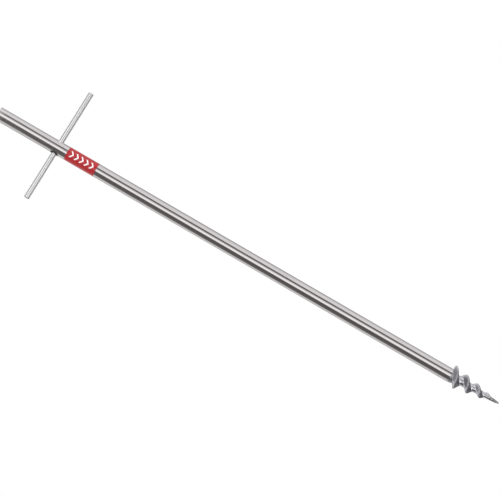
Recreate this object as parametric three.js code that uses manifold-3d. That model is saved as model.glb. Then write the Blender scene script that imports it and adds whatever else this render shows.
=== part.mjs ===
// Hand-turned ground auger: a thin steel tube with a cast screw point at its lower end and a
// plain cross bar that slides through the tube near its top.
// Millimetres, +Z up. The origin is the tip of the screw, and the tube's axis is +Z.

import * as THREE from "three";
import { mergeVertices } from "three/addons/utils/BufferGeometryUtils.js";
import Module from "manifold-3d";

const wasm = await Module();
wasm.setup();

// ---------------------------------------------------------------- driving dimensions

const GAP = 0.3; // room between a piece and the one it sits in
const ROUND = 48; // sides of the tube and of everything that follows its wall
const SMALL_ROUND = 24; // sides of the bar, the pin and their holes

const TUBE_R = 11.0;
const TUBE_BORE_R = 9.8;
const TUBE_BOTTOM = 87.5;
const TUBE_TOP = 898.0;
const TUBE_CHAMFER = 0.25;

const BAR_R = 4.5;
const BAR_LENGTH = 193.0;
const BAR_Z = 792.0;
const BAR_REST_X = 4.5; // the bar rests a little off centre
const BAR_CHAMFER = 0.5;
const BAR_HOLE_R = BAR_R + GAP;

const GROMMET_NECK_R = 5.7;
const GROMMET_HOLE_R = GROMMET_NECK_R + GAP;
const GROMMET_OUTER_R = 7.4; // half width of the lip outside the tube
const GROMMET_INNER_R = 6.8; // half width of the lip inside it
const GROMMET_LIP = 0.7;
const GROMMET_SKIN = 0.1; // room between a lip and the tube wall

const LABEL_LOW = 722.0;
const LABEL_HIGH = 774.0;
const LABEL_SKIN = 0.1; // room between the label and the tube wall
const LABEL_THICK = 0.25;
const LABEL_SIDES = 44; // sides of the tube that the label covers, out of ROUND

const SPIGOT_R = TUBE_BORE_R - GAP;
const SPIGOT_TOP = 118.0;
const SPIGOT_CHAMFER = 1.5;
const COLLAR_R = 10.8;
const COLLAR_FOOT_R = 9.9;
const COLLAR_FOOT = 80.5;

const CORE_TOP = 77.0; // the collar runs down into the tapered core here
const CORE_TOP_R = 7.2;
const CORE_LOW = 11.0; // and here the core starts to close to its point
const CORE_LOW_R = 2.65;
const TIP_R = 0.6;

const PITCH = 21.24; // right-handed
const FLIGHT_PHASE = -0.21; // turn of the flight where its height would be 0, in radians
const FLIGHT_WAVE = 1.1; // how much lower each turn hangs on the -X side, as cast
const FLIGHT_TOP = 86.0;
const FLIGHT_LOW = 11.0;
const FLIGHT_FADE = 16.4; // height over which the flight grows out of the point
const FLIGHT_TOP_R = 18.1;
const FLIGHT_TAPER = 0.18; // radius lost per millimetre of height
const FLIGHT_FULL_R = 9.0; // below this radius the flight thins towards the point
const FLIGHT_FLANK = [
  // how far out to the rim, and half the thickness there
  [0.12, 7.4],
  [0.42, 6.5],
  [0.62, 4.7],
  [0.82, 2.85],
  [0.93, 1.75],
  [0.98, 0.85],
  [1.0, 0.3],
];
const STEPS_PER_TURN = 32;

const PIN_R = 2.5;
const PIN_WALL = 0.8;
const PIN_SLOT = 1.2;
const PIN_LENGTH = 21.0;
const PIN_Z = 104.0;
const PIN_HOLE_R = PIN_R + GAP;

// ---------------------------------------------------------------- solids

function toSolid(geometry) {
  const bare = geometry.clone();
  bare.deleteAttribute("normal");
  bare.deleteAttribute("uv");
  const merged = mergeVertices(bare, 1e-4);
  const corners = merged.index.array;
  const triangles = [];
  for (let i = 0; i < corners.length; i += 3) {
    const [a, b, c] = corners.slice(i, i + 3);
    if (a !== b && b !== c && c !== a) triangles.push(a, b, c); // none shrunk to a line
  }
  return new wasm.Manifold(
    new wasm.Mesh({
      numProp: 3,
      vertProperties: new Float32Array(merged.attributes.position.array),
      triVerts: new Uint32Array(triangles),
    }),
  );
}

function toGeometry(solid) {
  const mesh = solid.getMesh();
  const geometry = new THREE.BufferGeometry();
  geometry.setAttribute("position", new THREE.BufferAttribute(mesh.vertProperties, 3));
  geometry.setIndex(new THREE.BufferAttribute(mesh.triVerts, 1));
  geometry.computeVertexNormals();
  return geometry;
}

// A body turned about Z from [radius, height] pairs that go up its outside. A profile that
// leaves the axis open is a ring, and closes on its first point.
function turned(profile, sides) {
  const onAxis = profile[0][0] === 0 && profile.at(-1)[0] === 0;
  const points = (onAxis ? profile : [...profile, profile[0]]).map(([r, z]) => new THREE.Vector2(r, z));
  return toSolid(new THREE.LatheGeometry(points, sides).rotateX(Math.PI / 2));
}

// A plain cylinder about Z.
function cylinder(radius, low, high, sides) {
  return turned(
    [
      [0, low],
      [radius, low],
      [radius, high],
      [0, high],
    ],
    sides,
  );
}

// A plain cylinder along X, between two stations.
function alongX(radius, from, to) {
  return cylinder(radius, from, to, SMALL_ROUND).rotate([0, 90, 0]);
}

// A ring about Z that follows the tube's wall.
function wallRing(inner, outer, low, high) {
  return turned(
    [
      [inner, low],
      [outer, low],
      [outer, high],
      [inner, high],
    ],
    ROUND,
  );
}

// ---------------------------------------------------------------- the flight's path

// The flight is swept down the axis. Its section lies in the plane through the axis, so the
// sweep's normal is the arm that points to the rim and its binormal is the axis. Both are
// scaled, the arm by the rim's radius and the axis by the thickness, so the flight tapers.
class FlightPath extends THREE.Curve {
  getAngle(t) {
    return (2 * Math.PI * THREE.MathUtils.lerp(FLIGHT_TOP, FLIGHT_LOW, t)) / PITCH + FLIGHT_PHASE;
  }

  getPoint(t, target = new THREE.Vector3()) {
    return target.set(0, 0, flightHeight(this.getAngle(t)));
  }

  // The points are even in angle, as the frames are.
  getSpacedPoints(segments) {
    return this.getPoints(segments);
  }

  computeFrenetFrames(segments) {
    const frames = { tangents: [], normals: [], binormals: [] };
    for (let i = 0; i <= segments; i += 1) {
      const angle = this.getAngle(i / segments);
      const rim = flightRadius(flightHeight(angle));
      const thin = Math.min(1, rim / FLIGHT_FULL_R);
      frames.tangents.push(new THREE.Vector3(0, 0, 1));
      frames.normals.push(new THREE.Vector3(Math.cos(angle), Math.sin(angle), 0).multiplyScalar(rim));
      frames.binormals.push(new THREE.Vector3(0, 0, thin));
    }
    return frames;
  }
}

// The flight climbs evenly but for the cast wave, which is lowest on the -X side.
function flightHeight(angle) {
  const even = (PITCH * (angle - FLIGHT_PHASE)) / (2 * Math.PI);
  return even - (FLIGHT_WAVE * (1 - Math.cos(angle))) / 2;
}

function flightRadius(z) {
  const cone = FLIGHT_TOP_R - FLIGHT_TAPER * (FLIGHT_TOP - z);
  const fade = THREE.MathUtils.smoothstep(z, FLIGHT_LOW - FLIGHT_FADE / 2, FLIGHT_LOW + FLIGHT_FADE);
  return cone * fade;
}

// Section of the flight, thick at the core and narrow at the rim.
function flightSection() {
  const lower = FLIGHT_FLANK.map(([x, y]) => new THREE.Vector2(x, -y));
  const upper = FLIGHT_FLANK.map(([x, y]) => new THREE.Vector2(x, y)).reverse();
  return new THREE.Shape([...lower, ...upper]);
}

// ---------------------------------------------------------------- pieces

function mainTube() {
  const c = TUBE_CHAMFER;
  const wall = turned(
    [
      [TUBE_BORE_R, TUBE_BOTTOM + c],
      [TUBE_BORE_R + c, TUBE_BOTTOM],
      [TUBE_R - c, TUBE_BOTTOM],
      [TUBE_R, TUBE_BOTTOM + c],
      [TUBE_R, TUBE_TOP - c],
      [TUBE_R - c, TUBE_TOP],
      [TUBE_BORE_R + c, TUBE_TOP],
      [TUBE_BORE_R, TUBE_TOP - c],
    ],
    ROUND,
  );
  const beyond = TUBE_R + 2;
  return wall
    .subtract(alongX(GROMMET_HOLE_R, -beyond, 0).translate([0, 0, BAR_Z]))
    .subtract(alongX(BAR_HOLE_R, 0, beyond).translate([0, 0, BAR_Z]))
    .subtract(alongX(PIN_HOLE_R, -beyond, beyond).translate([0, 0, PIN_Z]));
}

function screwPoint() {
  const body = turned(
    [
      [0, 0],
      [TIP_R, 0],
      [0.5 * CORE_LOW_R, 0.18 * CORE_LOW],
      [0.79 * CORE_LOW_R, 0.5 * CORE_LOW],
      [CORE_LOW_R, CORE_LOW],
      [CORE_TOP_R, CORE_TOP],
      [COLLAR_FOOT_R - 0.6, COLLAR_FOOT - 1.2],
      [COLLAR_FOOT_R, COLLAR_FOOT],
      [COLLAR_R, TUBE_BOTTOM - GAP],
      [SPIGOT_R, TUBE_BOTTOM - GAP],
      [SPIGOT_R, SPIGOT_TOP - SPIGOT_CHAMFER],
      [SPIGOT_R - SPIGOT_CHAMFER, SPIGOT_TOP],
      [0, SPIGOT_TOP],
    ],
    ROUND,
  );
  const turns = (FLIGHT_TOP - FLIGHT_LOW) / PITCH;
  const flight = toSolid(
    new THREE.ExtrudeGeometry(flightSection(), {
      steps: Math.round(turns * STEPS_PER_TURN),
      extrudePath: new FlightPath(),
    }),
  );
  const belowTube = cylinder(FLIGHT_TOP_R + 2, 0, TUBE_BOTTOM - GAP, ROUND);
  return body
    .add(flight.intersect(belowTube))
    .subtract(alongX(PIN_HOLE_R, -TUBE_R, TUBE_R).translate([0, 0, PIN_Z]));
}

// The spring pin is a rolled strip: a C in section, with its slot facing up.
function pointPin() {
  const half = Math.asin(PIN_SLOT / 2 / PIN_R);
  const section = new THREE.Shape();
  section.absarc(0, 0, PIN_R, Math.PI / 2 + half, Math.PI / 2 - half + 2 * Math.PI, false);
  section.absarc(0, 0, PIN_R - PIN_WALL, Math.PI / 2 - half + 2 * Math.PI, Math.PI / 2 + half, true);
  const strip = new THREE.ExtrudeGeometry(section, {
    depth: PIN_LENGTH,
    bevelEnabled: false,
    curveSegments: SMALL_ROUND / 2,
  });
  strip.translate(0, 0, -PIN_LENGTH / 2).rotateX(Math.PI / 2).rotateZ(Math.PI / 2);
  return toSolid(strip).translate([0, 0, PIN_Z]);
}

function tommyBar() {
  const half = BAR_LENGTH / 2;
  const bar = turned(
    [
      [0, -half],
      [BAR_R - BAR_CHAMFER, -half],
      [BAR_R, BAR_CHAMFER - half],
      [BAR_R, half - BAR_CHAMFER],
      [BAR_R - BAR_CHAMFER, half],
      [0, half],
    ],
    SMALL_ROUND,
  );
  return bar.rotate([0, 90, 0]).translate([BAR_REST_X, 0, BAR_Z]);
}

// The grommet lines the hole on the -X side: a lip on each side of the wall and a neck
// through it.
function barGrommet() {
  const outerLow = TUBE_R + GROMMET_SKIN;
  const innerHigh = TUBE_BORE_R - GROMMET_SKIN;
  const tall = 2 * GROMMET_OUTER_R;
  const lip = (inner, outer, reach) =>
    wallRing(inner, outer, -tall, tall).intersect(alongX(reach, -TUBE_R - 5, 0));
  return lip(outerLow, outerLow + GROMMET_LIP, GROMMET_OUTER_R)
    .add(lip(innerHigh - GROMMET_LIP, innerHigh, GROMMET_INNER_R))
    .add(lip(innerHigh - GROMMET_LIP, outerLow + GROMMET_LIP, GROMMET_NECK_R))
    .subtract(alongX(BAR_HOLE_R, -TUBE_R - 5, 0))
    .translate([0, 0, BAR_Z]);
}

// The label is a strip wrapped round the tube, open along the side that faces +Y.
function label() {
  const inner = TUBE_R + LABEL_SKIN;
  const outer = inner + LABEL_THICK;
  const ring = wallRing(inner, outer, LABEL_LOW, LABEL_HIGH);
  const half = ((ROUND - LABEL_SIDES) / 2) * ((2 * Math.PI) / ROUND);
  const reach = 2 * outer;
  const wedge = new THREE.Shape([
    new THREE.Vector2(0, 0),
    new THREE.Vector2(reach * Math.sin(half), reach * Math.cos(half)),
    new THREE.Vector2(-reach * Math.sin(half), reach * Math.cos(half)),
  ]);
  const opening = new THREE.ExtrudeGeometry(wedge, {
    depth: LABEL_HIGH - LABEL_LOW + 2,
    bevelEnabled: false,
  });
  opening.translate(0, 0, LABEL_LOW - 1);
  return ring.subtract(toSolid(opening));
}

// ---------------------------------------------------------------- the object

const CHROME = { color: 0xd2cfd0, roughness: 0.12, metalness: 1.0 };
const SATIN_STEEL = { color: 0xc4c4c8, roughness: 0.35, metalness: 1.0 };
const CAST_GREY = { color: 0x8b8a90, roughness: 0.45, metalness: 0.9 };
const SPRING_STEEL = { color: 0x55565a, roughness: 0.4, metalness: 1.0 };
const BLACK_RUBBER = { color: 0x1d1d1f, roughness: 0.7, metalness: 0.0 };
const RED_FILM = { color: 0xc4282d, roughness: 0.3, metalness: 0.0 };

const PIECES = [
  ["main_tube", mainTube, CHROME],
  ["screw_point", screwPoint, CAST_GREY],
  ["point_pin", pointPin, SPRING_STEEL],
  ["tommy_bar", tommyBar, SATIN_STEEL],
  ["bar_grommet", barGrommet, BLACK_RUBBER],
  ["label", label, RED_FILM],
];

const auger = new THREE.Group();
auger.name = "ground_auger";
for (const [name, build, finish] of PIECES) {
  const piece = new THREE.Mesh(toGeometry(build()), new THREE.MeshStandardMaterial(finish));
  piece.name = name;
  auger.add(piece);
}

export default auger;
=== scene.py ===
import math

import bmesh
import bpy
import numpy as np
from mathutils import Matrix, Vector


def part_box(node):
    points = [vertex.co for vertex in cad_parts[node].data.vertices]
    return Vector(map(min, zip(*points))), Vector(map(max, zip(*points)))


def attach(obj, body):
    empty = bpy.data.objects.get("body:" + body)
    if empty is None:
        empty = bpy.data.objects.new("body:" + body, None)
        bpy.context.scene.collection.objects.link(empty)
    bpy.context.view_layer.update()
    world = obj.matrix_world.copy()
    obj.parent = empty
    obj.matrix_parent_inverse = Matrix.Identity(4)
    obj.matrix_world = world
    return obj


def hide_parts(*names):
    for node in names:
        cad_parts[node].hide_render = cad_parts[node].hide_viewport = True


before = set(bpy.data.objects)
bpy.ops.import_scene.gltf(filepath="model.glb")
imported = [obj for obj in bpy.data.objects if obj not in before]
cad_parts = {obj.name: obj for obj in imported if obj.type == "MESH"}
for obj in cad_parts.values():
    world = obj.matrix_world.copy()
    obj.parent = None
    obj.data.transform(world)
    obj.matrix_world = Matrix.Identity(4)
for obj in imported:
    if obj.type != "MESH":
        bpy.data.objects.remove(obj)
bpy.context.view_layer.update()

# A hand-turned ground auger: a bright tube, a cast screw point, a sliding cross bar in a rubber
# grommet, a spring pin and a printed label. Metres, +Z up, the screw's tip at the origin.

MM = 0.001
SIDES = 128  # round the tube and round everything turned on its axis
HALF = SIDES // 2

# ---------------------------------------------------------------- sizes, from the frame

tube_low, tube_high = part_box("main_tube")
bar_low, bar_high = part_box("tommy_bar")
pin_low, pin_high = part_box("point_pin")
screw_low, screw_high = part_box("screw_point")
label_low, label_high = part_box("label")
grommet_low, grommet_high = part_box("bar_grommet")

TUBE_R = tube_high.x
TUBE_FOOT = tube_low.z
TUBE_TOP = tube_high.z
WALL = 1.2 * MM
BORE_R = TUBE_R - WALL
TUBE_EDGE = 0.22 * MM  # rounding of the cut ends

BAR_R = (bar_high.z - bar_low.z) / 2
BAR_Z = (bar_high.z + bar_low.z) / 2
BAR_EDGE = 0.35 * MM
ROOM = 0.3 * MM  # between a piece and its hole
BAR_HOLE_R = BAR_R + ROOM
GROMMET_REACH = (grommet_high.z - grommet_low.z) / 2
GROMMET_NECK_R = 5.7 * MM
GROMMET_HOLE_R = GROMMET_NECK_R + ROOM
HOLE_EDGE = 0.15 * MM

PIN_R = (pin_high.y - pin_low.y) / 2
PIN_Z = pin_low.z + PIN_R
PIN_END = pin_high.x
PIN_HOLE_R = PIN_R + ROOM
PIN_WALL = 0.8 * MM
PIN_SLOT = 1.2 * MM

SPIGOT_R = BORE_R - ROOM
SPIGOT_TOP = screw_high.z
SHOULDER = TUBE_FOOT - ROOM  # the casting's flat face under the tube

BAND_HALF = 11.5 * MM  # half height of a stretch of wall that holds a pair of holes
BORDER_ROWS = 25  # points up each straight border of a band
HOLE_RINGS = [0, 0.012, 0.03, 0.06, 0.1, 0.15, 0.21, 0.28, 0.36, 0.45, 0.55, 0.66, 0.77, 0.89, 1]
WELD = 0.0015 * MM  # points closer than this are made one


# ---------------------------------------------------------------- mesh tools

def grid_faces(rows, cols):
    """Quads of a rows by cols grid of points, in order."""
    first = (np.arange(rows - 1)[:, None] * cols + np.arange(cols - 1)[None, :]).ravel()
    return np.stack([first, first + 1, first + cols + 1, first + cols], axis=1)


def solid_piece(name, grids, body):
    """One closed piece from grids of points whose borders meet: the borders are welded, quads
    that shrink to a line or a point at a pole go, and faces are turned outwards."""
    points, faces, start = [], [], 0
    for grid in grids:
        rows, cols = grid.shape[:2]
        points.append(grid.reshape(-1, 3))
        faces.append(grid_faces(rows, cols) + start)
        start += rows * cols
    mesh = bpy.data.meshes.new(name)
    mesh.from_pydata(np.concatenate(points).tolist(), [], np.concatenate(faces).tolist())
    work = bmesh.new()
    work.from_mesh(mesh)
    bmesh.ops.remove_doubles(work, verts=work.verts, dist=WELD)
    bmesh.ops.recalc_face_normals(work, faces=work.faces)
    work.to_mesh(mesh)
    work.free()
    mesh.polygons.foreach_set("use_smooth", np.ones(len(mesh.polygons), bool))
    mesh.update()
    piece = bpy.data.objects.new(name, mesh)
    bpy.context.scene.collection.objects.link(piece)
    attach(piece, body)
    return piece


def corners(piece):
    """The piece's points as an array."""
    flat = np.zeros(len(piece.data.vertices) * 3, np.float32)
    piece.data.vertices.foreach_get("co", flat)
    return flat.reshape(-1, 3).astype(float)


def mark(piece, name, values):
    """Stores one number per point on the piece, for its material to read."""
    layer = piece.data.attributes.new(name, "FLOAT", "POINT")
    layer.data.foreach_set("value", np.clip(values, 0, 1).astype(np.float32))


def smoothstep(low, high, x):
    """0 below low, 1 above high, and a smooth S between."""
    t = np.clip((x - low) / (high - low), 0, 1)
    return t * t * (3 - 2 * t)


def soft_max(a, b, blend):
    """The larger of two arrays, with a fillet of about that size where they cross."""
    return 0.5 * (a + b + np.sqrt((a - b) ** 2 + blend**2))


def turned(radii, heights, sides=SIDES):
    """A surface turned about Z: radius and height go along the profile, angle goes round."""
    turn = np.linspace(0, 2 * np.pi, sides + 1)[None, :]
    radii, heights = np.asarray(radii)[:, None], np.asarray(heights)[:, None]
    return np.stack([radii * np.cos(turn), radii * np.sin(turn), heights + 0 * turn], axis=-1)


def arc(centre_r, centre_z, radius, start, end, steps=5):
    """Points of a round edge in a turned profile, as radii and heights."""
    a = np.radians(np.linspace(start, end, steps))
    return centre_r + radius * np.cos(a), centre_z + radius * np.sin(a)


# ---------------------------------------------------------------- a wall with holes on +X and -X

def wall_loop():
    """The border of half a wall band, unrolled: angle from -90 to 90 degrees, height from -1 to
    1 band half heights, once round, and the direction of each border point from the middle."""
    turn = np.linspace(-np.pi / 2, np.pi / 2, HALF + 1)
    rise = np.linspace(-1, 1, BORDER_ROWS)
    angle = np.concatenate([turn, np.full(BORDER_ROWS - 2, np.pi / 2),
                            turn[::-1], np.full(BORDER_ROWS - 1, -np.pi / 2)])
    height = np.concatenate([-np.ones(HALF + 1), rise[1:-1], np.ones(HALF + 1), rise[::-1][1:]])
    height = height * BAND_HALF
    return angle, height, np.arctan2(height, TUBE_R * angle)


def drilled_half(radius, hole_r, centre_z, side):
    """Half a wall band with a round hole in it. Rings run from the hole to the band's border:
    a point is (hole edge) + share * (border - hole edge), in angle and height, laid on the wall."""
    angle, height, way = wall_loop()
    hole_y, hole_z = hole_r * np.cos(way), hole_r * np.sin(way)
    hole_angle = np.arcsin(hole_y / radius)
    share = np.array(HOLE_RINGS)[:, None]
    a = hole_angle + share * (angle - hole_angle)
    z = hole_z + share * (height - hole_z)
    return np.stack([side * radius * np.cos(a), side * radius * np.sin(a), centre_z + z], axis=-1)


def hole_lining(profile, centre_z, side):
    """The lining of a hole: each (distance from the hole's axis, wall radius) pair of the
    profile is a ring at x = sqrt(wall radius squared - y squared)."""
    way = wall_loop()[2][None, :]
    reach = np.array([p[0] for p in profile])[:, None]
    wall = np.array([p[1] for p in profile])[:, None]
    y = reach * np.cos(way)
    x = np.sqrt(wall**2 - y**2)
    return np.stack([side * x, side * y, centre_z + reach * np.sin(way)], axis=-1)


def through_wall(hole_r, outer, inner, edge):
    """Profile of a hole's lining from the outer face to the inner one, both edges rounded."""
    t = np.linspace(0, np.pi / 2, 4)
    out = list(zip(hole_r + edge * (1 - np.sin(t)), outer - edge * (1 - np.cos(t))))
    back = list(zip(hole_r + edge * (1 - np.sin(t[::-1])), inner + edge * (1 - np.cos(t[::-1]))))
    return out + back


# ---------------------------------------------------------------- the tube

def make_tube():
    """Outer and inner wall as straight turned stretches between two drilled bands, with the
    ends closed by turned rims and the holes by their linings."""
    e = TUBE_EDGE
    bar_holes = ((1, BAR_HOLE_R), (-1, GROMMET_HOLE_R))
    grids = []
    for radius in (TUBE_R, BORE_R):
        stretches = [
            (TUBE_FOOT + e, PIN_Z - BAND_HALF),
            (PIN_Z + BAND_HALF, BAR_Z - BAND_HALF),
            (BAR_Z + BAND_HALF, TUBE_TOP - e),
        ]
        for low, high in stretches:
            rows = [low, *np.linspace(low + 0.6 * MM, high - 0.6 * MM, 8), high]
            grids.append(turned([radius] * len(rows), rows))
        for side, bar_hole in bar_holes:
            grids.append(drilled_half(radius, bar_hole + HOLE_EDGE, BAR_Z, side))
            grids.append(drilled_half(radius, PIN_HOLE_R + HOLE_EDGE, PIN_Z, side))
    for end, way in ((TUBE_TOP, 1), (TUBE_FOOT, -1)):
        out_r, out_z = arc(TUBE_R - e, end - way * e, e, 0, way * 90)
        in_r, in_z = arc(BORE_R + e, end - way * e, e, way * 90, way * 180)
        flat = [TUBE_R - 1.6 * e, BORE_R + 1.6 * e]
        grids.append(turned([*out_r, *flat, *in_r], [*out_z, end, end, *in_z]))
    for side, bar_hole in bar_holes:
        grids.append(hole_lining(through_wall(bar_hole, TUBE_R, BORE_R, HOLE_EDGE), BAR_Z, side))
        grids.append(hole_lining(through_wall(PIN_HOLE_R, TUBE_R, BORE_R, HOLE_EDGE), PIN_Z, side))
    tube = solid_piece("tube", grids, "auger")
    x, y, z = corners(tube).T
    to_end = np.minimum(TUBE_TOP - z, z - TUBE_FOOT)
    inside = smoothstep(BORE_R + 0.6 * WALL, BORE_R + 0.2 * WALL, np.hypot(x, y))
    mark(tube, "rim", smoothstep(1.4 * MM, 0.1 * MM, to_end))
    mark(tube, "inside", inside)
    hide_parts("main_tube")
    return tube


# ---------------------------------------------------------------- the screw point

PITCH = 21.24 * MM
FLIGHT_PHASE = -0.21
FLIGHT_WAVE = 1.1 * MM  # how much lower each turn hangs on the -X side, as cast
FLIGHT_TOP = 86.0 * MM
FLIGHT_LOW = 11.0 * MM
FLIGHT_FADE = 16.4 * MM
FLIGHT_TOP_R = 18.55 * MM
FLIGHT_TAPER = 0.185
FLIGHT_FULL_R = 9.0 * MM
RIM_HALF = 1.25 * MM  # half thickness of the rim, before its corners are rounded
RIM_ROUND = 1.25 * MM
FLANK_SLOPE = 0.109  # share of the rim's radius lost per millimetre away from the rim
CORE_LOW = 11.0 * MM
CORE_LOW_R = 2.65 * MM
CORE_TOP = 77.0 * MM
CORE_TOP_R = 7.2 * MM
COLLAR_FOOT = 80.5 * MM
COLLAR_FOOT_R = 9.9 * MM
COLLAR_R = 10.8 * MM
POINT_POWER = 0.38  # how blunt the very tip is: 1 is a cone, 0.5 a paraboloid
ROOT_FILLET = 0.9 * MM  # between the core and the flight
CAST_WAVES = 0.004  # unevenness of the casting, as a share of its radius
SHOULDER_FILLET = 0.2 * MM
SPIGOT_BEVEL = 1.5 * MM


def core_radius(z):
    """The core tapers evenly, closes to its point by a power of the height, and swells into the
    collar under the tube."""
    point = CORE_LOW_R * np.clip(z / CORE_LOW, 0, 1) ** POINT_POWER
    slope = (CORE_TOP_R - CORE_LOW_R) / (CORE_TOP - CORE_LOW)
    taper = CORE_LOW_R + slope * (z - CORE_LOW)
    core = np.where(z < CORE_LOW, point, taper)
    collar = COLLAR_FOOT_R + (COLLAR_R - COLLAR_FOOT_R) * (z - COLLAR_FOOT) / (SHOULDER - COLLAR_FOOT)
    into_collar = smoothstep(CORE_TOP - 0.5 * MM, COLLAR_FOOT + 0.5 * MM, z)
    return core + (collar - core) * into_collar


def flight_radius(turn, z):
    """Radius of the flight's surface at an angle and a height, and a mask of its lower flank for
    painted shade.
    Each turn of the helix is a ridge centred where z = pitch * (turn - phase) / full turn +
    whole pitches, less the cast wave. Its surface is the rim's radius less a straight flank,
    with the rim's corner rounded."""
    ridge, below = np.zeros_like(z), np.zeros_like(z)
    for lap in range(-1, 6):
        centre = PITCH * ((turn - FLIGHT_PHASE) / (2 * np.pi) + lap)
        centre = centre - FLIGHT_WAVE * (1 - np.cos(turn)) / 2
        cone = FLIGHT_TOP_R - FLIGHT_TAPER * (FLIGHT_TOP - centre)
        rim = cone * smoothstep(FLIGHT_LOW - FLIGHT_FADE / 2, FLIGHT_LOW + FLIGHT_FADE, centre)
        rim = rim * smoothstep(FLIGHT_TOP + 0.35 * MM, FLIGHT_TOP - 0.35 * MM, centre)
        thin = np.clip(rim / FLIGHT_FULL_R, 0.2, 1)
        away = np.abs(z - centre) / thin - RIM_HALF
        flank = 0.5 * (away + np.sqrt(away**2 + RIM_ROUND**2))
        height = rim * (1 - flank * FLANK_SLOPE / MM)
        # below marks the lower flank of each turn, which the casting's material darkens as painted
        # shade
        below = np.where(height > ridge, smoothstep(0.3 * MM, -2.5 * MM, z - centre), below)
        ridge = np.maximum(ridge, height)
    return ridge, below


def make_screw():
    """The screw below the shoulder is a radius over angle and height, the larger of the core and
    the flight. Above it are a flat ring, the drilled spigot and its bevelled end."""
    heights = np.concatenate([[0, 0.05, 0.15, 0.3, 0.5, 0.75], np.linspace(1, 86.6, 440)]) * MM
    heights = np.append(heights, [SHOULDER - 0.35 * MM, SHOULDER - 0.2 * MM])
    turn, z = np.meshgrid(np.linspace(0, 2 * np.pi, SIDES + 1), heights)
    core = core_radius(z)
    flight = flight_radius(turn, z)[0]
    radius = soft_max(core, flight, ROOT_FILLET * smoothstep(0, 20 * MM, z))
    waves = np.sin(3 * turn + 900 * z) * np.sin(2 * turn - 640 * z) + np.sin(5 * turn + 1700 * z)
    radius = radius * (1 + CAST_WAVES * waves * smoothstep(2 * MM, 12 * MM, z))
    radius[0] = 0
    screw = np.stack([radius * np.cos(turn), radius * np.sin(turn), z], axis=-1)

    edge = radius[-1]
    insets = np.array([0, 0.06, 0.2, 0.5])[:, None] * MM
    drops = np.array([0.2, 0.06, 0, 0])[:, None] * MM
    rings_r = np.concatenate([edge - insets, SPIGOT_R + (edge - 0.5 * MM - SPIGOT_R) * [[0.4]],
                              SPIGOT_R + SHOULDER_FILLET + 0 * edge[None, :]])
    rings_z = np.concatenate([SHOULDER - drops, [[SHOULDER], [SHOULDER]]]) + 0 * edge
    around = turn[:1]
    shoulder = np.stack([rings_r * np.cos(around), rings_r * np.sin(around), rings_z], axis=-1)

    bend = np.linspace(0, np.pi / 2, 4)
    fillet_r = SPIGOT_R + SHOULDER_FILLET * (1 - np.sin(bend))
    fillet_z = SHOULDER + SHOULDER_FILLET * (1 - np.cos(bend))
    root = turned([*fillet_r, SPIGOT_R, SPIGOT_R],
                  [*fillet_z, SHOULDER + 0.7 * MM, PIN_Z - BAND_HALF])
    bevel_r, bevel_z = SPIGOT_R - SPIGOT_BEVEL, SPIGOT_TOP - SPIGOT_BEVEL
    end_r = [SPIGOT_R, SPIGOT_R, SPIGOT_R - 0.1 * MM, bevel_r, bevel_r - 0.3 * MM, 4 * MM, 0]
    end_z = [PIN_Z + BAND_HALF, bevel_z - 0.2 * MM, bevel_z, SPIGOT_TOP - 0.1 * MM,
             SPIGOT_TOP, SPIGOT_TOP, SPIGOT_TOP]
    way = wall_loop()[2]
    cross = np.sqrt(SPIGOT_R**2 - (PIN_HOLE_R * np.cos(way)) ** 2)
    station = np.linspace(1, -1, 5)[:, None]
    bore = np.stack([station * cross, PIN_HOLE_R * np.cos(way) + 0 * station,
                     PIN_Z + PIN_HOLE_R * np.sin(way) + 0 * station], axis=-1)
    grids = [screw, shoulder, root, turned(end_r, end_z), bore]
    grids += [drilled_half(SPIGOT_R, PIN_HOLE_R, PIN_Z, side) for side in (1, -1)]
    point = solid_piece("screw_casting", grids, "auger")

    x, y, z = corners(point).T
    reach, turn = np.hypot(x, y), np.mod(np.arctan2(y, x), 2 * np.pi)
    core = core_radius(z)
    below = flight_radius(turn, z)[1]
    out = smoothstep(0.25 * MM, 1.1 * MM, reach - core) * (z < SHOULDER)
    cone = FLIGHT_TOP_R - FLIGHT_TAPER * (FLIGHT_TOP - z)
    mark(point, "flight", np.maximum(out, smoothstep(CORE_TOP, COLLAR_FOOT, z)))
    mark(point, "crest", smoothstep(0.8, 0.98, reach / np.maximum(cone, 3 * MM)) * out)
    # the lower flank's mask, used for painted shade on the flights
    mark(point, "below", below * out)
    # darker towards the point: a mask for painted shade
    mark(point, "tip", smoothstep(25 * MM, 8 * MM, z))
    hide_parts("screw_point")
    return point


# ---------------------------------------------------------------- bar, pin, grommet, label

def make_bar():
    """A bar turned on X: flat ends, rounded corners, straight between."""
    e = BAR_EDGE
    half = (bar_high.x - bar_low.x) / 2
    middle = (bar_high.x + bar_low.x) / 2
    corner_r, corner_z = arc(BAR_R - e, half - e, e, 90, 0)
    radii = [0, 1.5 * MM, BAR_R - 2 * e, *corner_r, BAR_R]
    stations = [half, half, half, *corner_z, half - 2 * e]
    along = np.linspace(half - 4 * e, 4 * e - half, 41)
    radii = [*radii, *([BAR_R] * len(along)), *radii[::-1]]
    stations = [*stations, *along, *(-s for s in stations[::-1])]
    r, z, a = turned(radii, stations, 96).transpose(2, 0, 1)
    bar = solid_piece("cross_bar", [np.stack([a + middle, r, z + BAR_Z], axis=-1)], "cross_bar")
    x = corners(bar)[:, 0]
    mark(bar, "rim", smoothstep(1.6 * MM, 0.2 * MM, half - np.abs(x - middle)))
    mark(bar, "rubbed", smoothstep(60 * MM, 18 * MM, np.abs(x)))
    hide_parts("tommy_bar")
    return bar


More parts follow.
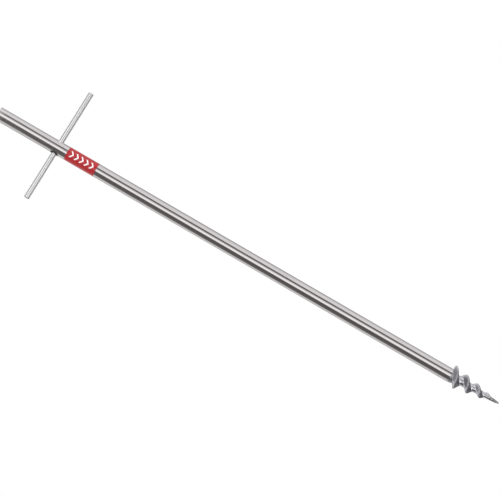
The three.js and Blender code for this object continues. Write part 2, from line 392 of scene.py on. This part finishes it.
def make_pin():
    """A rolled strip: a C of constant wall round the X axis with its slot up, drawn in a little
    at both ends, where the cut faces close it."""
    half_slot = math.asin(PIN_SLOT / 2 / PIN_R)
    turn = np.linspace(np.pi / 2 + half_slot, np.pi * 2.5 - half_slot, 49)
    outer = np.stack([np.cos(turn), np.sin(turn)], axis=-1)
    inner = outer[::-1] * (PIN_R - PIN_WALL) / PIN_R
    section = np.concatenate([outer, inner, outer[:1]]) * PIN_R
    stations = np.array([1, 0.985, 0.93, 0.9, 0, -0.9, -0.93, -0.985, -1]) * PIN_END
    drawn = np.array([0.86, 0.9, 0.985, 1, 1, 1, 0.985, 0.9, 0.86])
    skin = np.stack([stations[:, None] + 0 * section[None, :, 0],
                     drawn[:, None] * section[None, :, 0],
                     PIN_Z + drawn[:, None] * section[None, :, 1]], axis=-1)
    count = len(turn)
    faces = [np.stack([skin[k, :count], skin[k, count:2 * count][::-1]]) for k in (0, -1)]
    pin = solid_piece("spring_pin", [skin, *faces], "auger")
    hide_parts("point_pin")
    return pin


def make_grommet():
    """A closed profile round the hole's axis, laid on the tube: its distance from the axis is
    the ring's size, and its height above the wall is added to the tube's radius."""
    skin = 0.04 * MM
    snug = BAR_R + 0.06 * MM
    lip = GROMMET_REACH
    inner_lip = 6.8 * MM
    neck = GROMMET_NECK_R + 0.2 * MM
    dome = np.linspace(0, 1, 9)
    dome_reach = snug + 0.35 * MM + dome * (lip - snug - 0.45 * MM)
    dome_rise = 0.16 * MM + 0.62 * MM * np.cos(dome * np.pi / 2) ** 1.2
    profile = [
        *zip(dome_reach, dome_rise),
        (lip - 0.02 * MM, 0.11 * MM),
        (lip, 0.07 * MM),
        (lip - 0.05 * MM, skin),
        (neck + 0.1 * MM, skin),
        (neck, -skin),
        (neck, -WALL + skin),
        (neck + 0.1 * MM, -WALL - skin),
        (inner_lip - 0.1 * MM, -WALL - skin),
        (inner_lip, -WALL - 0.2 * MM),
        (inner_lip - 0.2 * MM, -WALL - 0.6 * MM),
        (snug + 0.2 * MM, -WALL - 0.76 * MM),
        (snug, -WALL - 0.5 * MM),
        (snug, -0.4 * MM),
        (snug, 0.5 * MM),
        (snug + 0.12 * MM, 0.72 * MM),
        (snug + 0.35 * MM, 0.78 * MM),
    ]
    reach = np.array([p[0] for p in profile])[:, None]
    wall = TUBE_R + np.array([p[1] for p in profile])[:, None]
    way = np.linspace(0, 2 * np.pi, 97)[None, :]
    y = reach * np.cos(way)
    ring = np.stack([-np.sqrt(wall**2 - y**2), y, BAR_Z + reach * np.sin(way)], axis=-1)
    grommet = solid_piece("grommet", [ring], "auger")
    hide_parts("bar_grommet")
    return grommet


LABEL_TURN = math.radians(164)  # how far round the label reaches each way from -Y
LABEL_CORNER = 2.2 * MM
FILM = 0.1 * MM  # its thickness
FILM_R = TUBE_R + 0.03 * MM  # radius of its back


def make_label():
    """Film on the tube, centred on -Y: across it goes the angle, up it the height, and near the
    ends its reach shrinks by a quarter circle so that the corners are round."""
    low, high = label_low.z, label_high.z
    half = (high - low) / 2
    rise = np.concatenate([np.linspace(-1, -0.9, 8), np.linspace(-0.88, 0.88, 24),
                           np.linspace(0.9, 1, 8)])
    into = np.clip((np.abs(rise) * half - (half - LABEL_CORNER)) / LABEL_CORNER, 0, 1)
    reach = LABEL_TURN - LABEL_CORNER / FILM_R * (1 - np.sqrt(1 - into**2))
    across = np.linspace(-1, 1, SIDES + 1)
    angle = reach[:, None] * across[None, :]
    height = (low + high) / 2 + half * rise[:, None] + 0 * angle

    def sheet(radius):
        return np.stack([radius * np.sin(angle), -radius * np.cos(angle), height], axis=-1)

    front, back = sheet(FILM_R + FILM), sheet(FILM_R)
    hems = [np.stack([front[k], back[k]]) for k in (0, -1)]
    hems += [np.stack([front[:, k], back[:, k]]) for k in (0, -1)]
    film = solid_piece("label_film", [front, back, *hems], "auger")
    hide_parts("label")
    return film


# ---------------------------------------------------------------- shader tools

def place(tree, kind, inputs=None, **settings):
    """Adds a node, sets its settings, and sets or links its inputs."""
    made = tree.nodes.new(kind)
    for name, value in settings.items():
        setattr(made, name, value)
    for key, value in (inputs or {}).items():
        if isinstance(value, bpy.types.NodeSocket):
            tree.links.new(value, made.inputs[key])
        else:
            made.inputs[key].default_value = value
    return made


def maths(tree, operation, *values):
    """One Math node's output."""
    made = place(tree, "ShaderNodeMath", dict(enumerate(values)), operation=operation)
    return made.outputs[0]


def remap(tree, value, low, high, to_low=0.0, to_high=1.0):
    """A value taken from one range to another, held at the ends."""
    made = place(tree, "ShaderNodeMapRange",
                 {"Value": value, "From Min": low, "From Max": high,
                  "To Min": to_low, "To Max": to_high})
    return made.outputs["Result"]


def noise(tree, vector, scale, detail=3.0, roughness=0.55):
    """A noise texture's value."""
    made = place(tree, "ShaderNodeTexNoise",
                 {"Vector": vector, "Scale": scale, "Detail": detail, "Roughness": roughness})
    return made.outputs["Fac"]


def stretched(tree, vector, scale):
    """Coordinates scaled differently along each axis, to draw a pattern out."""
    made = place(tree, "ShaderNodeMapping", {"Vector": vector, "Scale": scale})
    return made.outputs["Vector"]


def blend_colour(tree, factor, first, second):
    """The first colour at factor 0, the second at 1, and a mix between."""
    made = place(tree, "ShaderNodeMix", {0: factor}, data_type="RGBA")
    for socket, value in zip((made.inputs[6], made.inputs[7]), (first, second)):
        if isinstance(value, bpy.types.NodeSocket):
            tree.links.new(value, socket)
        else:
            socket.default_value = (*value, 1)
    return made.outputs[2]


def attribute(tree, name):
    """The number that mark() stored on the piece under this name."""
    return place(tree, "ShaderNodeAttribute", attribute_name=name).outputs["Fac"]


def bump(tree, height, strength, distance):
    """Normals tilted by a height that varies over the surface."""
    inputs = {"Height": height, "Strength": strength, "Distance": distance}
    return place(tree, "ShaderNodeBump", inputs).outputs["Normal"]


def group(name, inputs, outputs):
    """An empty node group with named sockets. Returns it with its input and output nodes."""
    tree = bpy.data.node_groups.new(name, "ShaderNodeTree")
    for label, kind in inputs:
        tree.interface.new_socket(label, in_out="INPUT", socket_type="NodeSocket" + kind)
    for label, kind in outputs:
        tree.interface.new_socket(label, in_out="OUTPUT", socket_type="NodeSocket" + kind)
    return tree, tree.nodes.new("NodeGroupInput"), tree.nodes.new("NodeGroupOutput")


def drawn_lines_group():
    """Fine lines left by drawing and polishing. The coordinates come in already stretched."""
    tree, given, result = group("drawn_lines", [("Vector", "Vector"), ("Scale", "Float")],
                                [("Lines", "Float"), ("Scratches", "Float")])
    where, scale = given.outputs["Vector"], given.outputs["Scale"]
    fine = maths(tree, "MULTIPLY", noise(tree, where, scale, 4, 0.65), 0.65)
    coarse = noise(tree, where, maths(tree, "MULTIPLY", scale, 0.23), 2, 0.5)
    lines = maths(tree, "ADD", fine, maths(tree, "MULTIPLY", coarse, 0.35))
    spread = noise(tree, where, maths(tree, "MULTIPLY", scale, 0.6), 1)
    few = remap(tree, spread, 0.68, 0.74)
    tree.links.new(lines, result.inputs["Lines"])
    tree.links.new(few, result.inputs["Scratches"])
    return tree


def smudge_group():
    """Soft patches left by hands and wiping."""
    tree, given, result = group("smudges", [("Vector", "Vector"), ("Scale", "Float")],
                                [("Smudge", "Float")])
    patches = noise(tree, given.outputs["Vector"], given.outputs["Scale"], 3, 0.6)
    tree.links.new(remap(tree, patches, 0.42, 0.68), result.inputs["Smudge"])
    return tree


def grain_group():
    """Pits and grain of a moulded or cast skin."""
    tree, given, result = group("grain", [("Vector", "Vector"), ("Scale", "Float")],
                                [("Grain", "Float"), ("Pits", "Float")])
    where, scale = given.outputs["Vector"], given.outputs["Scale"]
    fine = noise(tree, where, scale, 5, 0.62)
    pits = place(tree, "ShaderNodeTexVoronoi",
                 {"Vector": where, "Scale": maths(tree, "MULTIPLY", scale, 0.8)})
    tree.links.new(fine, result.inputs["Grain"])
    tree.links.new(remap(tree, pits.outputs["Distance"], 0.05, 0.32, 1, 0), result.inputs["Pits"])
    return tree


def use(tree, kind, vector, scale):
    """Places a shared group in a material."""
    made = tree.nodes.new("ShaderNodeGroup")
    made.node_tree = kind
    tree.links.new(vector, made.inputs["Vector"])
    made.inputs["Scale"].default_value = scale
    return made.outputs


def material(name):
    """A material with a Principled shader. Returns it with its tree, shader and coordinates."""
    made = bpy.data.materials.new(name)
    made.use_nodes = True
    tree = made.node_tree
    shader = tree.nodes["Principled BSDF"]
    where = tree.nodes.new("ShaderNodeTexCoord").outputs["Object"]
    return made, tree, shader, where


def finish(tree, shader, colour=None, roughness=None, normal=None, **fixed):
    """Links what varies over the surface, and sets what doesn't on the shader itself."""
    for socket, value in (("Base Color", colour), ("Roughness", roughness), ("Normal", normal)):
        if value is not None:
            tree.links.new(value, shader.inputs[socket])
    for name, value in fixed.items():
        shader.inputs[name.replace("_", " ")].default_value = value


def dress(piece, made):
    """Gives a piece its one material."""
    piece.data.materials.clear()
    piece.data.materials.append(made)


# ---------------------------------------------------------------- materials

LINES = drawn_lines_group()
SMUDGES = smudge_group()
GRAIN = grain_group()


def tube_chrome():
    """Bright plated tube: faint lengthwise lines, wiped patches, a dull cut rim and a duller,
    darker inside."""
    made, tree, shader, where = material("tube_chrome")
    lines = use(tree, LINES, stretched(tree, where, (1, 1, 0.012)), 2600)
    smudge = use(tree, SMUDGES, stretched(tree, where, (1, 1, 0.35)), 90)["Smudge"]
    rim, inside = attribute(tree, "rim"), attribute(tree, "inside")
    tone = blend_colour(tree, lines["Lines"], (0.81, 0.775, 0.783), (0.89, 0.853, 0.861))
    tone = blend_colour(tree, maths(tree, "MULTIPLY", smudge, 0.25), tone, (0.75, 0.713, 0.718))
    tone = blend_colour(tree, maths(tree, "MULTIPLY", inside, 0.8), tone, (0.36, 0.35, 0.345))
    tone = blend_colour(tree, maths(tree, "MULTIPLY", rim, 0.5), tone, (0.62, 0.61, 0.61))
    dull = remap(tree, lines["Lines"], 0.3, 0.7, 0.075, 0.13)
    dull = maths(tree, "ADD", dull, maths(tree, "MULTIPLY", smudge, 0.05))
    dull = maths(tree, "ADD", dull, maths(tree, "MULTIPLY", lines["Scratches"], 0.08))
    dull = maths(tree, "ADD", dull, maths(tree, "MULTIPLY", rim, 0.22))
    dull = maths(tree, "ADD", dull, maths(tree, "MULTIPLY", inside, 0.3))
    relief = maths(tree, "SUBTRACT", lines["Lines"], maths(tree, "MULTIPLY", lines["Scratches"], 0.5))
    finish(tree, shader, tone, dull, bump(tree, relief, 0.06, 0.02 * MM), Metallic=1.0)
    return made


def satin_bar():
    """Drawn steel bar: fine lines along it, rubbed brighter where it slides, cut marks on the
    ends."""
    made, tree, shader, where = material("satin_bar")
    lines = use(tree, LINES, stretched(tree, where, (0.02, 1, 1)), 3200)
    smudge = use(tree, SMUDGES, where, 140)["Smudge"]
    rim, rubbed = attribute(tree, "rim"), attribute(tree, "rubbed")
    tone = blend_colour(tree, lines["Lines"], (0.80, 0.80, 0.81), (0.94, 0.94, 0.95))
    tone = blend_colour(tree, maths(tree, "MULTIPLY", smudge, 0.3), tone, (0.76, 0.755, 0.755))
    tone = blend_colour(tree, maths(tree, "MULTIPLY", rim, 0.55), tone, (0.55, 0.55, 0.56))
    dull = remap(tree, lines["Lines"], 0.3, 0.7, 0.27, 0.35)
    dull = maths(tree, "ADD", dull, maths(tree, "MULTIPLY", smudge, 0.05))
    dull = maths(tree, "SUBTRACT", dull, maths(tree, "MULTIPLY", rubbed, 0.04))
    relief = maths(tree, "SUBTRACT", lines["Lines"], lines["Scratches"])
    finish(tree, shader, tone, dull, bump(tree, relief, 0.06, 0.03 * MM), Metallic=1.0)
    return made


def cast_grey():
    """Grey casting: grainy, matter flights with brighter rubbed rims, a smoother core, painted shade
    on the flights' lower flanks and towards the point.
    """
    made, tree, shader, where = material("cast_grey")
    skin = use(tree, GRAIN, where, 1500)
    patch = use(tree, SMUDGES, where, 160)["Smudge"]
    flight, crest, tip = attribute(tree, "flight"), attribute(tree, "crest"), attribute(tree, "tip")
    below = attribute(tree, "below")
    worn = maths(tree, "MULTIPLY", crest, remap(tree, skin["Grain"], 0.35, 0.6))
    tone = blend_colour(tree, skin["Grain"], (0.72, 0.71, 0.75), (0.90, 0.89, 0.93))
    tone = blend_colour(tree, maths(tree, "MULTIPLY", flight, 0.7), tone, (0.28, 0.274, 0.298))
    # painted shade: the lower flanks of the flights are darkened
    tone = blend_colour(tree, maths(tree, "MULTIPLY", below, 0.5), tone, (0.15, 0.147, 0.165))
    tone = blend_colour(tree, maths(tree, "MULTIPLY", patch, 0.3), tone, (0.27, 0.265, 0.285))
    tone = blend_colour(tree, maths(tree, "MULTIPLY", worn, 0.2), tone, (0.62, 0.61, 0.63))
    # painted shade: the casting is darkened towards the point
    tone = blend_colour(tree, maths(tree, "MULTIPLY", tip, 0.85), tone, (0.2, 0.196, 0.2))
    dull = maths(tree, "ADD", remap(tree, skin["Grain"], 0.3, 0.7, 0.15, 0.21),
                 maths(tree, "MULTIPLY", flight, 0.21))
    dull = maths(tree, "SUBTRACT", dull, maths(tree, "MULTIPLY", worn, 0.1))
    relief = maths(tree, "SUBTRACT", skin["Grain"], maths(tree, "MULTIPLY", skin["Pits"], 0.5))
    relief = maths(tree, "MULTIPLY", relief, remap(tree, flight, 0, 1, 0.1, 1))
    finish(tree, shader, tone, dull, bump(tree, relief, 0.5, 0.14 * MM), Metallic=1.0)
    return made


def spring_steel():
    """Blackened spring steel with bright scuffs."""
    made, tree, shader, where = material("spring_steel")
    lines = use(tree, LINES, stretched(tree, where, (0.05, 1, 1)), 4200)
    tone = blend_colour(tree, lines["Lines"], (0.14, 0.14, 0.15), (0.30, 0.30, 0.32))
    tone = blend_colour(tree, maths(tree, "MULTIPLY", lines["Scratches"], 0.7), tone, (0.6, 0.6, 0.6))
    dull = remap(tree, lines["Lines"], 0.3, 0.7, 0.32, 0.5)
    finish(tree, shader, tone, dull, bump(tree, lines["Lines"], 0.15, 0.03 * MM), Metallic=1.0)
    return made


def black_rubber():
    """Moulded rubber: near black, fine grain, a little pale dust in the pits."""
    made, tree, shader, where = material("black_rubber")
    skin = use(tree, GRAIN, where, 2600)
    tone = blend_colour(tree, skin["Grain"], (0.012, 0.012, 0.013), (0.035, 0.035, 0.037))
    tone = blend_colour(tree, maths(tree, "MULTIPLY", skin["Pits"], 0.25), tone, (0.10, 0.098, 0.095))
    dull = remap(tree, skin["Grain"], 0.3, 0.7, 0.5, 0.72)
    finish(tree, shader, tone, dull, bump(tree, skin["Grain"], 0.3, 0.08 * MM), Metallic=0.0)
    return made


CHEVRONS = 5
CHEVRON_STEP = 8.8 * MM
CHEVRON_STROKE = 2.8 * MM
CHEVRON_HALF = 5.4 * MM
CHEVRON_LEAN = 0.8  # height gained for each step away from the middle
INK_EDGE = 0.12 * MM


def printed_film():
    """Red film with a row of white chevrons that point down to the screw. The print is laid out
    in distance round the tube from -Y and in height: a chevron is where the height, less the
    lean times the distance, falls in the stroke's share of a step."""
    made, tree, shader, where = material("printed_film")
    x, y, z = place(tree, "ShaderNodeSeparateXYZ", {0: where}).outputs
    turn = maths(tree, "ARCTAN2", x, maths(tree, "MULTIPLY", y, -1.0))
    off = maths(tree, "ABSOLUTE", maths(tree, "MULTIPLY", turn, FILM_R + FILM))
    middle = (label_low.z + label_high.z) / 2
    row = (CHEVRONS - 1) * CHEVRON_STEP + CHEVRON_STROKE + CHEVRON_HALF * CHEVRON_LEAN
    along = maths(tree, "SUBTRACT", z, middle - row / 2)
    along = maths(tree, "SUBTRACT", along, maths(tree, "MULTIPLY", off, CHEVRON_LEAN))
    step = maths(tree, "DIVIDE", along, CHEVRON_STEP)
    into_step = maths(tree, "MULTIPLY", maths(tree, "FRACT", step), CHEVRON_STEP)
    edge_in = remap(tree, into_step, 0.0, INK_EDGE)
    edge_out = remap(tree, into_step, CHEVRON_STROKE - INK_EDGE, CHEVRON_STROKE, 1, 0)
    within = remap(tree, off, CHEVRON_HALF - INK_EDGE, CHEVRON_HALF, 1, 0)
    started = remap(tree, step, -0.001, 0.0)
    ended = remap(tree, step, CHEVRONS - 0.001, CHEVRONS, 1, 0)
    ink = maths(tree, "MULTIPLY", edge_in, edge_out)
    for mask in (within, started, ended):
        ink = maths(tree, "MULTIPLY", ink, mask)
    smudge = use(tree, SMUDGES, where, 180)["Smudge"]
    fine = noise(tree, where, 1800, 3)
    red = blend_colour(tree, fine, (0.34, 0.009, 0.014), (0.42, 0.014, 0.019))
    red = blend_colour(tree, maths(tree, "MULTIPLY", smudge, 0.3), red, (0.28, 0.008, 0.013))
    tone = blend_colour(tree, ink, red, (0.80, 0.78, 0.77))
    dull = remap(tree, fine, 0.3, 0.7, 0.24, 0.32)
    dull = maths(tree, "ADD", dull, maths(tree, "MULTIPLY", smudge, 0.08))
    relief = maths(tree, "ADD", fine, maths(tree, "MULTIPLY", ink, 0.5))
    finish(tree, shader, tone, dull, bump(tree, relief, 0.08, 0.03 * MM), Metallic=0.0,
           Coat_Weight=0.45, Coat_Roughness=0.12)
    return made


# ---------------------------------------------------------------- camera, light and floor

VIEW_TURN = math.radians(-10.3)  # the view's azimuth: 0 looks along +Y
VIEW_ROLL = math.radians(30.1)  # the tube's slope in the view
VIEW_DISTANCE = 1.864
VIEW_LENS = 86.4  # focal length for a 36 mm sensor
VIEW_CENTRE = (14.45 * MM, 455 * MM)  # what the lens points at: beside the axis and up it

BACK = np.array([math.sin(VIEW_TURN), -math.cos(VIEW_TURN), 0])
BESIDE = np.array([math.cos(VIEW_TURN), math.sin(VIEW_TURN), 0])
UP = np.array([0, 0, 1.0])


def make_camera():
    """Looks square at the tube from the front, a little to its left, and is rolled so that the
    tube runs down to the right."""
    data = bpy.data.cameras.new("view")
    data.lens = VIEW_LENS
    data.sensor_width = 36
    data.clip_start = 0.01
    camera = bpy.data.objects.new("view", data)
    across = math.sin(VIEW_ROLL) * BESIDE - math.cos(VIEW_ROLL) * UP
    upward = math.cos(VIEW_ROLL) * BESIDE + math.sin(VIEW_ROLL) * UP
    spot = VIEW_CENTRE[0] * BESIDE + VIEW_CENTRE[1] * UP + VIEW_DISTANCE * BACK
    matrix = np.eye(4)
    matrix[:3] = np.stack([across, upward, BACK, spot], axis=1)
    camera.matrix_world = Matrix(matrix.tolist())
    bpy.context.scene.collection.objects.link(camera)
    bpy.context.scene.camera = camera


# Brightness of the studio round the tube, by angle from the view towards +X in degrees: lit
# strips behind the view and behind the tube, dark panels beside them, pale walls between.
STUDIO = [
    (-180, 0.95), (-166, 0.85), (-160, 0.14), (-143, 0.10), (-137, 0.62), (-95, 0.66),
    (-87, 0.36), (-79, 0.13), (-50, 0.10), (-24, 0.08), (-16, 0.22), (-8, 1.0), (10, 1.02),
    (17, 0.66), (29, 0.40), (36, 0.065), (46, 0.055), (52.5, 0.38), (60, 0.80), (92, 0.78),
    (112, 0.60), (130, 0.66), (138, 0.12), (150, 0.10), (157, 0.50), (170, 0.92), (180, 0.95),
]
STUDIO_BOW = 10.0  # degrees by which the panels bow at the height of the view
STUDIO_WARMTH = 0.03  # how much warmer than white the dark panels are
DARK_PANEL = 0.3  # a panel below this brightness is a dark one

# Colours where the studio leaves its panels: a lit band at a middling slope up, another down
# ahead of the object, and duller light straight above and below.
LIT = (1.45, 1.45, 1.46)
OVER = (0.48, 0.48, 0.49)
UNDER = (0.16, 0.16, 0.165)


def make_world():
    """Plain white where the view sees past the object, and the studio for light and
    reflections: brightness goes by the angle round the tube near the level, and by the slope
    above and below it."""
    world = bpy.data.worlds.new("studio")
    bpy.context.scene.world = world
    world.use_nodes = True
    tree = world.node_tree
    way = place(tree, "ShaderNodeTexCoord").outputs["Generated"]

    def along(direction):
        return place(tree, "ShaderNodeVectorMath", {0: way, 1: tuple(direction)},
                     operation="DOT_PRODUCT").outputs["Value"]

    rise = along(UP)
    angle = maths(tree, "ARCTAN2", along(BESIDE), along(BACK))
    bow = remap(tree, maths(tree, "MULTIPLY", rise, rise), 0, 0.05, math.radians(STUDIO_BOW), 0)
    turn = remap(tree, maths(tree, "ADD", angle, bow), -math.pi, math.pi)
    ramp = place(tree, "ShaderNodeValToRGB", {"Fac": turn})
    stops = ramp.color_ramp.elements
    for index, (degrees, level) in enumerate(STUDIO):
        share = (degrees + 180) / 360
        stop = stops[index] if index < 2 else stops.new(share)
        stop.position = share
        warm = STUDIO_WARMTH if level < DARK_PANEL else 0.0
        stop.color = (level * (1 + warm), level, level * (1 - warm), 1)
    ahead = remap(tree, maths(tree, "ABSOLUTE", angle), math.radians(60), math.radians(40))
    low = maths(tree, "MULTIPLY", remap(tree, rise, -0.42, -0.48), remap(tree, rise, -0.80, -0.66))
    shade = blend_colour(tree, remap(tree, rise, 0.27, 0.33), ramp.outputs["Color"], LIT)
    shade = blend_colour(tree, maths(tree, "MULTIPLY", low, ahead), shade, LIT)
    shade = blend_colour(tree, remap(tree, rise, 0.58, 0.74), shade, OVER)
    shade = blend_colour(tree, remap(tree, rise, -0.66, -0.80, 0, 0.5), shade, UNDER)
    seen = place(tree, "ShaderNodeLightPath").outputs["Is Camera Ray"]
    colour = blend_colour(tree, seen, shade, (1.0, 1.0, 1.0))
    background = tree.nodes["Background"]
    tree.links.new(colour, background.inputs["Color"])


LAMP_AIM = Vector((0, 0, 0.45))  # the tube's middle


def make_light(name, angle, height, distance, size, power):
    """A soft panel light at an angle in degrees from the view towards +X, aimed at the tube."""
    data = bpy.data.lights.new(name, "AREA")
    data.size = size
    data.energy = power
    lamp = bpy.data.objects.new(name, data)
    a = math.radians(angle)
    spot = Vector(distance * (math.cos(a) * BACK + math.sin(a) * BESIDE) + height * UP)
    lamp.location = spot
    lamp.rotation_euler = (spot - LAMP_AIM).to_track_quat("Z", "Y").to_euler()
    lamp.visible_glossy = False
    bpy.context.scene.collection.objects.link(lamp)


FLOOR_HALF = 12.0
FLOOR_LEVEL = -0.5 * MM


def make_floor():
    """A wide pale floor just under the tip. It is left out of mirror reflections, so that the
    tube shows the studio all the way down."""
    mesh = bpy.data.meshes.new("floor")
    square = np.array([(-1, -1, 0), (1, -1, 0), (1, 1, 0), (-1, 1, 0)]) * FLOOR_HALF
    mesh.from_pydata((square + (0, 0, FLOOR_LEVEL)).tolist(), [], [(0, 1, 2, 3)])
    floor = bpy.data.objects.new("floor", mesh)
    bpy.context.scene.collection.objects.link(floor)
    made, tree, shader, where = material("pale_floor")
    seen = place(tree, "ShaderNodeLightPath").outputs["Is Camera Ray"]
    speck = remap(tree, noise(tree, where, 3), 0, 1, 0.80, 0.84)
    colour = maths(tree, "MULTIPLY", speck, maths(tree, "SUBTRACT", 1.0, seen))
    tree.links.new(remap(tree, seen, 0, 1, 0.3, 1.0), shader.inputs["Emission Strength"])
    finish(tree, shader, colour, Roughness=0.9, Specular_IOR_Level=0.0, Emission_Color=(1, 1, 1, 1))
    floor.data.materials.append(made)
    floor.visible_glossy = False


# ---------------------------------------------------------------- putting it together

make_camera()
make_world()
make_light("key", 55, 1.7, 1.8, 1.2, 20)
make_light("fill", -70, 0.9, 2.0, 1.6, 10)
make_floor()

dress(make_tube(), tube_chrome())
dress(make_screw(), cast_grey())
dress(make_bar(), satin_bar())
dress(make_pin(), spring_steel())
dress(make_grommet(), black_rubber())
dress(make_label(), printed_film())

bpy.context.scene.view_settings.view_transform = "Standard"
